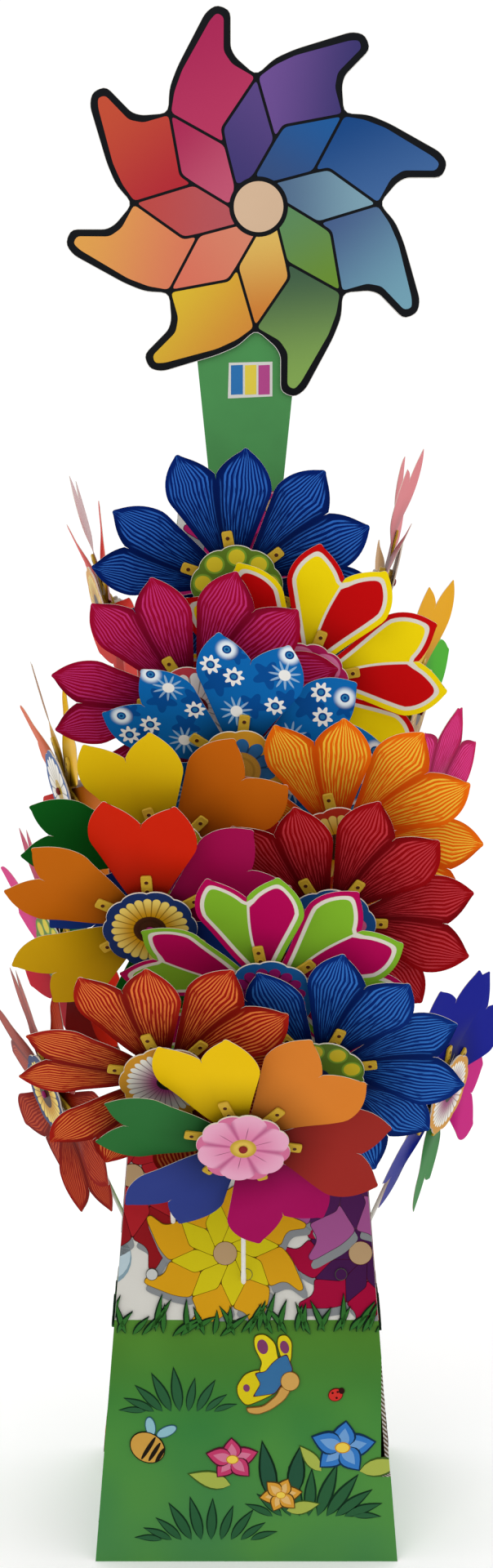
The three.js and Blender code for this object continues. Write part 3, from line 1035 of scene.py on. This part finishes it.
# Each blade's outer panel as (colour, colour), its inner panel, and the direction of each change.
BLADE_INKS = [
    (("1a4682", "456a9e"), -1.0, ("245a98", "38507e"), -2.2),
    (("3a366c", "6e5092"), 3.0, ("5a4682", "423a72"), -1.9),
    (("a82a56", "b63a60"), -1.3, ("aa2e56", "c05672"), -1.0),
    (("c25038", "b02c38"), -0.9, ("bc4c48", "b4565c"), 0.0),
    (("e0a250", "d8785c"), -0.2, ("d8725c", "d6846a"), 0.5),
    (("dcbe34", "d2883c"), -0.6, ("dcb860", "cc7c36"), -1.5),
    (("425e48", "86aa56"), -1.5, ("5c885c", "6a8e34"), -1.2),
    (("465c88", "74a2b4"), -0.9, ("546e8c", "7ca0b0"), 0.0),
]


def from_polar(points, turn=0.0, scale=1.0, centre=(0.0, 0.0)):
    result = []
    for radius, angle in points:
        a = math.radians(angle + turn)
        result.append((centre[0] + scale * radius * math.cos(a), centre[1] + scale * radius * math.sin(a)))
    return result


def counter_clockwise(outline):
    doubled = sum(a[0] * b[1] - b[0] * a[1] for a, b in zip(outline, outline[1:] + outline[:1]))
    return outline if doubled > 0 else outline[::-1]


def rounded(outline, cut, steps=3):
    """The outline with each corner replaced by a short curve that starts cut mm before it."""
    result = []
    count = len(outline)
    for i in range(count):
        before, here, after = (Vector(outline[j % count]) for j in (i - 1, i, i + 1))
        reach = min(cut, (before - here).length / 2.2, (after - here).length / 2.2)
        start = here + (before - here).normalized() * reach
        end = here + (after - here).normalized() * reach
        result += curve(tuple(start), tuple(here), tuple(end), steps) + [tuple(end)]
    return result


# Turns the flat x, y of a drawing into x, z on a board that faces the front.
UPRIGHT = Matrix.Rotation(math.radians(90), 4, "X")


def build_sign():
    """The die-cut sign: black-printed card with its coloured panels and a plain disc in the middle."""
    black, card = ink("141619"), sign_edge()
    where = Matrix.Translation((SIGN_CENTRE[0], 0, SIGN_CENTRE[1])) @ UPRIGHT
    outline = []
    for blade in range(BLADES):
        outline += from_polar(BLADE_OUTLINE, -blade * 360 / BLADES)
    outline = counter_clockwise(rounded(outline, 7.5))
    board = Piece("sign_board")
    rings = [flat(outline, SIGN_BACK), flat(outline, SIGN_FRONT - 0.3)]
    rings.append(flat(inset(outline, 0.5), SIGN_FRONT))
    board.loft(rings, card, where, top=black)
    board.build("tower", ["sign_board"], "sign_board")

    panels = Piece("sign_print")
    for blade, (outer, outer_turn, inner, inner_turn) in enumerate(BLADE_INKS):
        turn = blade * 360 / BLADES
        for shape, inks, angle in ((OUTER_PANEL, outer, outer_turn), (INNER_PANEL, inner, inner_turn)):
            drawn = inset(counter_clockwise(from_polar(shape, turn)), 1.4)
            material = gradient_ink(*inks, angle)
            low, high = SIGN_FRONT - 0.1, SIGN_FRONT + 0.25
            panels.plate(rounded(drawn, 4.0), low, high, material, where=where, layer="print")
    for radius, lift, tone in ((28.0, 0.45, black), (23.6, 0.6, ink("d8b898"))):
        round_ = [ring(radius, SIGN_FRONT + z, 48, HUB_SHIFT) for z in (-0.1, lift)]
        panels.loft(round_, tone, where)
    panels.build("tower", [], "sign_board")


def sign_edge():
    """The sign's raw back and cut edge."""
    s = Shader("sign_card", 0.7)
    back = s.mix(s.noise(s.place(), 30), CARD_WHITE, darker(CARD_WHITE, 0.93))
    flat_face = s.math("GREATER_THAN", s.math("ABSOLUTE", s.split(s.place("Normal"))[1]), 0.7)
    return s.finish(s.mix(flat_face, raw_card(s), back), s.noise(s.place(), 60), 0.2)


# ---- the printed tower ----

TOWER_HEIGHT = 1050.0
GRASS_LINE = 244.0
HOLE_HEIGHT = 290  # of the front's three closed stick holes
PRINT_EDGE = 0.6  # mm left between the print and the top and bottom of a wall
HALF_WIDTH = (150.0, 64.0)  # at the foot and at the top
HALF_DEPTH = (130.0, 36.0)
LAYER = 0.12  # mm from one layer of the print to the next
INK = 0.15  # mm from the wall to the lowest layer

# Each wall of the tower: its half width and its distance out, at the foot and at the top, and the
# direction it faces, in degrees round from the front.
WALLS = {
    "front": (HALF_WIDTH, HALF_DEPTH, 0),
    "back": (HALF_WIDTH, HALF_DEPTH, 180),
    "left": (HALF_DEPTH, HALF_WIDTH, -90),
    "right": (HALF_DEPTH, HALF_WIDTH, 90),
}


class Print:
    """Flat shapes printed on one wall. x runs across it from its middle, y is the height in mm."""

    def __init__(self, wall, seed):
        self.half, self.out, self.heading = WALLS[wall]
        self.random = random.Random(seed)
        self.bottom = PRINT_EDGE
        self.piece = Piece(f"{wall}_print")
        self.slope = math.atan2(self.out[0] - self.out[1], TOWER_HEIGHT)

    def border(self):
        """The four corners of the part that may be printed, from self.bottom up."""
        top = TOWER_HEIGHT - PRINT_EDGE
        low, high = (self.half[0] + (self.half[1] - self.half[0]) * y / TOWER_HEIGHT - 0.4
                     for y in (self.bottom, top))
        return [(-low, self.bottom), (low, self.bottom), (high, top), (-high, top)]

    def clip(self, outline):
        """The part of an outline that lies on the wall."""
        border = self.border()
        for a, b in zip(border, border[1:] + border[:1]):
            a, b = Vector(a), Vector(b)
            side = [(b - a).cross(Vector(p[:2]) - a) for p in outline]
            kept = []
            for i, here in enumerate(outline):
                j = (i + 1) % len(outline)
                if side[i] >= 0:
                    kept.append(here)
                if (side[i] >= 0) != (side[j] >= 0):
                    t = side[i] / (side[i] - side[j])
                    kept.append(tuple(Vector(here).lerp(Vector(outline[j]), t)))
            outline = kept
            if len(outline) < 3:
                return []
        return outline

    def shape(self, outline, material, layer):
        """Prints one shape; a higher layer covers a lower one."""
        outline = self.clip(counter_clockwise([tuple(p[:2]) for p in outline]))
        if not outline:
            return
        rings = []
        for lift in (-0.05, INK + layer * LAYER):
            rings.append([self.on_wall(x, y, lift) for x, y in outline])
        self.piece.loft(rings, material)

    def on_wall(self, x, y, lift):
        """A point of the print, lift mm off the wall."""
        distance = self.out[0] + (self.out[1] - self.out[0]) * y / TOWER_HEIGHT
        flat_point = Vector((x, -distance - lift * math.cos(self.slope), y + lift * math.sin(self.slope)))
        return Matrix.Rotation(math.radians(self.heading), 3, "Z") @ flat_point

    def build(self):
        self.piece.build("tower", [], "printed_board")


def leaf(x, y, length, width, lean, curl=0.0):
    """A pointed leaf that grows from (x, y), leaning right by lean degrees and curling at its tip."""
    a = math.radians(90 - lean)
    up, side = Vector((math.cos(a), math.sin(a))), Vector((math.sin(a), -math.cos(a)))
    base = Vector((x, y))
    outline = []
    steps = 7
    for hand in (1, -1):
        line = []
        for i in range(steps + 1):
            t = i / steps
            wide = width / 2 * math.sin(math.pi * t**0.8) * hand
            line.append(tuple(base + up * length * t + side * (wide + curl * t * t)))
        outline += line[:-1] if hand == 1 else line[:0:-1]
    return outline


def oval(x, y, wide, tall, turn=0.0, sides=24):
    a = math.radians(turn)
    points = []
    for i in range(sides):
        t = 2 * math.pi * i / sides
        u, v = wide / 2 * math.cos(t), tall / 2 * math.sin(t)
        points.append((x + u * math.cos(a) - v * math.sin(a), y + u * math.sin(a) + v * math.cos(a)))
    return points


def printed_pinwheel(art, x, y, size, outer, inner, turn, layer=1):
    """A pinwheel drawn like the sign, with a grey shadow and a beige disc in the middle."""
    scale = size / 178.0
    line = ink(darker(outer, 0.5))
    for blade in range(BLADES):
        at = turn + blade * 360 / BLADES
        shadow = rounded(from_polar(OUTER_PANEL, at, scale * 1.02, (x + 3, y - 7)), 4)
        art.shape(shadow, ink("85888a"), layer)
    for blade in range(BLADES):
        at = turn + blade * 360 / BLADES
        for shape, code in ((OUTER_PANEL, outer), (INNER_PANEL, inner)):
            drawn = counter_clockwise(from_polar(shape, at, scale, (x, y)))
            art.shape(rounded(inset(drawn, -0.35), 4), line, layer + 1)
            art.shape(rounded(inset(drawn, 0.25), 4), ink(code), layer + 2)
    art.shape(oval(x, y, 24, 24), line, layer + 3)
    art.shape(oval(x, y, 22.8, 22.8), ink("b89870"), layer + 4)


def grass_line(art):
    """A ragged row of curved, tapering blades along the top of the meadow."""
    x = -art.half[0]
    while x < art.half[0]:
        height = art.random.uniform(12, 27)
        lean = art.random.uniform(-30, 52)
        curl = art.random.uniform(-6, 8)
        base = GRASS_LINE - art.random.uniform(9, 16)
        art.shape(leaf(x, base, height + 12, 6.6, lean, curl), ink("0e2414"), 20)
        art.shape(leaf(x + 0.4, base, height + 10.5, 4.4, lean, curl), ink("2f6a2a"), 21)
        x += art.random.uniform(5.5, 9.5)


def tuft(art, x, y, spread, height, count, lean=0.0):
    """A clump of dark leaves that fans out from (x, y)."""
    for i in range(count):
        t = i / (count - 1) * 2 - 1
        length = height * (1 - 0.45 * abs(t)) * art.random.uniform(0.85, 1.1)
        angle = lean + 68 * t
        outline = leaf(x + spread * t, y, length, length * 0.26, angle, 5 * t)
        art.shape(outline, ink("12301c"), 3)
        art.shape(leaf(x + spread * t, y, length * 0.94, length * 0.19, angle, 5 * t), ink("2a5c38"), 4)


def blossom(art, x, y, size, count, code, turn=0.0, flatten=0.8):
    """A drawn flower: pointed, outlined petals, lighter in the middle, round a yellow heart."""
    for i in range(count):
        angle = turn + i * 360 / count
        dx, dy = math.cos(math.radians(angle)), math.sin(math.radians(angle)) * flatten
        reach = size * 1.1 * math.hypot(dx, dy)
        lean = 90 - math.degrees(math.atan2(dy, dx))
        layer = 8 + 2 * (i % 3)
        art.shape(leaf(x, y, reach, size * 0.78, lean), ink(darker(code, 0.4)), layer)
        art.shape(leaf(x, y, reach * 0.94, size * 0.66, lean), ink(code), layer + 1)
        art.shape(leaf(x, y, reach * 0.72, size * 0.36, lean), ink(paler(code, 0.3)), layer + 1.4)
    art.shape(oval(x, y, size * 0.5, size * 0.36), ink("c98a1e"), 14)
    art.shape(oval(x, y, size * 0.42, size * 0.3), ink("f0cf4e"), 15)


UPPER_WING = [(-14.6, 38.8), (-4, 40.5), (6.6, 31.2), (8.5, 18.4), (13, 4), (-8, -4), (-9.3, 4.2)]
UPPER_WING += [(-6.6, 11.3), (-14.6, 27)]
FAR_WING = [(9.3, 38.2), (17.2, 39.7), (23, 32.6), (22.5, 15.6), (18.6, 4.2), (12, 15.6), (8, 29.7)]
LOWER_WING = [(-12, 4.2), (-24, 0), (-32, -12.7), (-30.5, -22.7), (-22.5, -32.6), (-5.3, -25.5)]
LOWER_WING += [(8, -18.4), (13, 1.4)]
WING_PATCH = [(4, 10), (10.6, 15.6), (17.2, 18.4), (22.5, 4.2), (13.3, -7), (5.3, -18.4), (-13.3, -21.2)]
WING_PATCH += [(-6.6, -10), (-12, 0), (-2.7, 1.4)]
LONG_BODY = [(-22.5, -34), (-5.3, -32.6), (8, -21.2), (12, -11.3), (22.5, -14.2), (16, -25.5)]
LONG_BODY += [(2.7, -35.4), (-10.6, -40.5), (-20, -38.8)]


def outlined(art, x, y, points, line, fill, layer, cut=5.0, width=0.9):
    """A rounded shape with a printed outline round it."""
    drawn = counter_clockwise([(x + px, y + py) for px, py in points])
    art.shape(rounded(inset(drawn, -width / 2), cut), ink(line), layer)
    art.shape(rounded(inset(drawn, width / 2), cut), ink(fill), layer + 1)


def butterfly(art, x, y):
    """A plain butterfly seen from the side, with spotted yellow wings."""
    outlined(art, x, y, LOWER_WING, "4a4410", "d8c416", 8)
    outlined(art, x, y, FAR_WING, "4a4410", "dcc81a", 8)
    outlined(art, x, y, UPPER_WING, "4a4410", "e2ce1c", 10)
    outlined(art, x, y, WING_PATCH, "56142c", "56142c", 12, 2.5, 3.0)
    outlined(art, x, y, WING_PATCH, "356c9c", "356c9c", 14, 3.0, 1.6)
    for dx, dy, wide, tall in ((-6.1, 27.5, 10.5, 15), (15.5, 27, 8.5, 13), (-22, -14, 6.4, 7.4)):
        art.shape(oval(x + dx, y + dy, wide, tall, 15), ink("7c3a66"), 12)
    outlined(art, x, y, LONG_BODY, "7a5420", "cc9a4c", 16)
    art.shape(oval(x + 21, y - 7, 19, 19.5), ink("7a5420"), 18)
    art.shape(oval(x + 21, y - 7, 17.6, 18.1), ink("d2a254"), 19)


def bee(art, x, y):
    """A plain striped bee with two pale wings."""
    for dx, dy, long, turn in ((3, 21, 20, 100), (19, 16, 22, 25)):
        art.shape(oval(x + dx, y + dy, long, 10.5, turn), ink("2f5a70"), 8)
        art.shape(oval(x + dx, y + dy, long - 1.8, 8.9, turn), ink("8cbcc8"), 9)
    art.shape(oval(x, y, 37, 30, -32), ink("1c140a"), 10)
    art.shape(oval(x, y, 35, 28, -32), ink("cc9a42"), 11)
    for shift in (1, 7, 12.5):
        stripe = oval(x + shift, y - shift * 0.62, 4.2, 27.5 - shift * 0.8, -32)
        art.shape(stripe, ink("1c1610"), 12)


def ladybird(art, x, y):
    art.shape(oval(x, y, 15, 13, 20), ink("5c0c0c"), 8)
    art.shape(oval(x, y, 13.5, 11.5, 20), ink("d0302a"), 9)
    art.shape(oval(x + 6, y + 4, 6, 6), ink("2c1010"), 10)
    for dx, dy in ((-3, 2), (1, -3), (2, 3)):
        art.shape(oval(x + dx, y + dy, 2.2, 2.2, sides=12), ink("3c0c0c"), 10)


def pale_leaf(art, x, y, length, lean):
    art.shape(leaf(x, y, length, length * 0.42, lean), ink("3c5a1e"), 6)
    art.shape(leaf(x, y, length * 0.95, length * 0.35, lean), ink("a8b44c"), 7)


CLIMBING = (
    (0, 520, "2f6ca4", "5c98c4"),
    (-80, 610, "3f8a38", "80b04c"),
    (76, 640, "cc9a16", "d8c83a"),
    (0, 730, "a81e50", "cc5a84"),
    (-64, 820, "cc7858", "d89c5a"),
    (66, 850, "5e2c84", "8a5ea4"),
    (0, 945, "b01c60", "c83c80"),
    (30, 1035, "b01c60", "b01c60"),
)


def draw_pinwheels(art):
    """The pinwheels printed above the meadow, the lower ones overlapping like a bunch of flowers."""
    for x, y, outer, inner in CLIMBING:
        printed_pinwheel(art, x, y, 92, outer, inner, y % 45)
    art.shape(oval(-140, 306, 54, 56), ink("7f9aa6"), 1)
    art.shape(oval(-140, 309, 52, 53), ink("b4c8d0"), 2)
    printed_pinwheel(art, -112, 388, 96, "8c141a", "a81c24", 0, 2)
    printed_pinwheel(art, 112, 311, 80, "a00a34", "401646", 30, 3)
    printed_pinwheel(art, 92, 392, 92, "a0528c", "4a1c50", 15, 7)
    printed_pinwheel(art, -21, 311, 84, "d69c14", "d0c014", 8, 12)


def draw_front():
    art = Print("front", 3)
    art.bottom = GRASS_LINE - 1.0
    draw_pinwheels(art)
    art.bottom = PRINT_EDGE
    for x, tone in ((-93, "c4c6c2"), (0, "d0c014"), (93, "401646")):
        art.shape(oval(x, HOLE_HEIGHT, 12, 12), ink("4a4a40"), 17)
        art.shape(oval(x, HOLE_HEIGHT, 10.8, 10.8), ink(tone), 18)
    grass_line(art)
    tuft(art, -66, 152, 34, 46, 9, -8)
    tuft(art, -40, 22, 44, 48, 10, -6)
    tuft(art, 66, 46, 40, 58, 10, 12)
    for x, y, length, lean in ((26, 62, 62, -10), (46, 66, 52, 8)):
        art.shape(leaf(x, y, length, 18, lean), ink("0e2616"), 5)
        art.shape(leaf(x, y, length * 0.95, 14, lean), ink("24503a"), 6)
    for x, y, length, lean in ((-16, 78, 44, -75), (112, 92, 46, 78), (74, 92, 34, -40), (40, 52, 34, 78)):
        pale_leaf(art, x, y, length, lean)
    blossom(art, -14, 104, 25, 5, "c43a68", 20)
    blossom(art, 95, 116, 31, 5, "3478c4", 12)
    blossom(art, 34, 68, 20, 6, "d89a34", 10)
    butterfly(art, 22, 190)
    bee(art, -98, 116)
    ladybird(art, 88, 169)
    art.build()


SIDE_INKS = [
    ("dca416", "dccb12"),
    ("b80a3c", "4e1a52"),
    ("2f74b4", "6aa8d8"),
    ("a85a9c", "5a1e5c"),
    ("3f9238", "8cc04c"),
    ("a01018", "c8202a"),
    ("e0805e", "eda85e"),
]


def draw_side(wall, seed):
    """The other walls carry the same meadow, with the pinwheels climbing above it."""
    art = Print(wall, seed)

    def inks(step):
        return SIDE_INKS[(seed + step) % len(SIDE_INKS)]

    art.bottom = GRASS_LINE - 1.0
    for i in range(9):
        sway = art.half[0] * (0.5 if i % 2 else -0.45) * (1 - 0.06 * i)
        printed_pinwheel(art, sway, 320 + i * 88, 92, *inks(i), 17 * i)
    art.bottom = PRINT_EDGE
    grass_line(art)
    tuft(art, -48, 130, 34, 46, 9, -8)
    tuft(art, 40, 30, 40, 52, 10, 10)
    pale_leaf(art, -34, 66, 40, -70)
    blossom(art, -40, 92, 27, 5, inks(0)[0], 15)
    blossom(art, 62, 108, 24, 6, inks(3)[0], 5)
    art.build()


def build_neck_print():
    """A white-framed panel of plain bars on the neck."""
    piece = Piece("neck_print")
    board = 2.0
    frame_box = [(-18, 1139), (25, 1141), (25, 1174), (-17, 1173)]
    piece.plate(frame_box, board - 0.1, board + 0.2, ink("dcdcd6"), where=UPRIGHT)
    bars = ((-15, -3.5, "2f74b4"), (-1.5, 9.5, "e8d24a"), (11.5, 22.5, "b84a8c"))
    for left, right, code in bars:
        bar = [(left, 1142.5), (right, 1143), (right, 1171), (left, 1170.5)]
        piece.plate(bar, board, board + 0.35, ink(code), where=UPRIGHT)
    piece.build("tower", [], "neck_board")


def dress_boards():
    """Gives the CAD boards their card."""
    nodes = frame["nodes"]
    cards = {
        "front_panel": wall_card("card_front", "Y", -1.0),
        "back_panel": wall_card("card_back", "Y", 1.0),
        "left_panel": wall_card("card_left", "X", -1.0),
        "right_panel": wall_card("card_right", "X", 1.0),
        "foot_board": sheet_card("card_foot", CARD_BROWN, "Z"),
        "lower_divider": sheet_card("card_lower_divider", CARD_BROWN, "Z"),
        "upper_divider": sheet_card("card_upper_divider", CARD_BROWN, "Z"),
        "lid_board": sheet_card("card_lid", "c81c6e", "Z"),
        "neck_board": sheet_card("card_neck", "4e9854", "Y"),
    }
    for name, card in cards.items():
        mesh = nodes[name].data
        mesh.materials.clear()
        mesh.materials.append(card)


# ---- stage, lights and camera ----


def area_light(name, place, target, size, power):
    data = bpy.data.lights.new(name, "AREA")
    data.size = size
    data.energy = power
    light = bpy.data.objects.new(name, data)
    bpy.context.scene.collection.objects.link(light)
    light.location = place
    light.rotation_euler = (Vector(target) - Vector(place)).to_track_quat("-Z", "Y").to_euler()


def floor_paint():
    s = Shader("floor_paint", 0.9)
    tone = s.mix(s.noise(s.place(), 2.0), "fdfdfd", "ffffff")
    return s.finish(tone, s.noise(s.place(), 60), 0.05, depth=0.0)


def build_stage():
    mesh = bpy.data.meshes.new("floor")
    mesh.from_pydata([(-6, -6, 0), (6, -6, 0), (6, 6, 0), (-6, 6, 0)], [], [(0, 1, 2, 3)])
    mesh.materials.append(floor_paint())
    floor = bpy.data.objects.new("floor", mesh)
    bpy.context.scene.collection.objects.link(floor)

    world = bpy.data.worlds.new("studio")
    bpy.context.scene.world = world
    world.use_nodes = True
    background = world.node_tree.nodes["Background"]
    background.inputs["Color"].default_value = (1.0, 1.0, 1.0, 1.0)
    background.inputs["Strength"].default_value = 1.05

    middle = (0, 0, 0.8)
    area_light("key", (-1.2, -2.4, 2.9), middle, 1.4, 14)
    area_light("fill", (2.2, -1.8, 1.6), middle, 1.8, 4)
    area_light("rim", (0.6, 2.4, 2.6), middle, 1.8, 6)


def build_camera():
    data = bpy.data.cameras.new("camera")
    data.sensor_width = 36.0
    data.lens = 53.9
    camera = bpy.data.objects.new("camera", data)
    bpy.context.scene.collection.objects.link(camera)
    camera.location = (0.0, -2.3, 1.15)
    camera.rotation_euler = (math.radians(80.4), 0.0, 0.0)
    bpy.context.scene.camera = camera


build_stage()
build_camera()
dress_boards()
for joint in frame["joints"]:
    build_pinwheel(joint)
build_sign()
build_neck_print()
draw_front()
for number, wall in enumerate(("left", "right", "back")):
    draw_side(wall, 11 + number)
bpy.context.scene.view_settings.view_transform = "Standard"
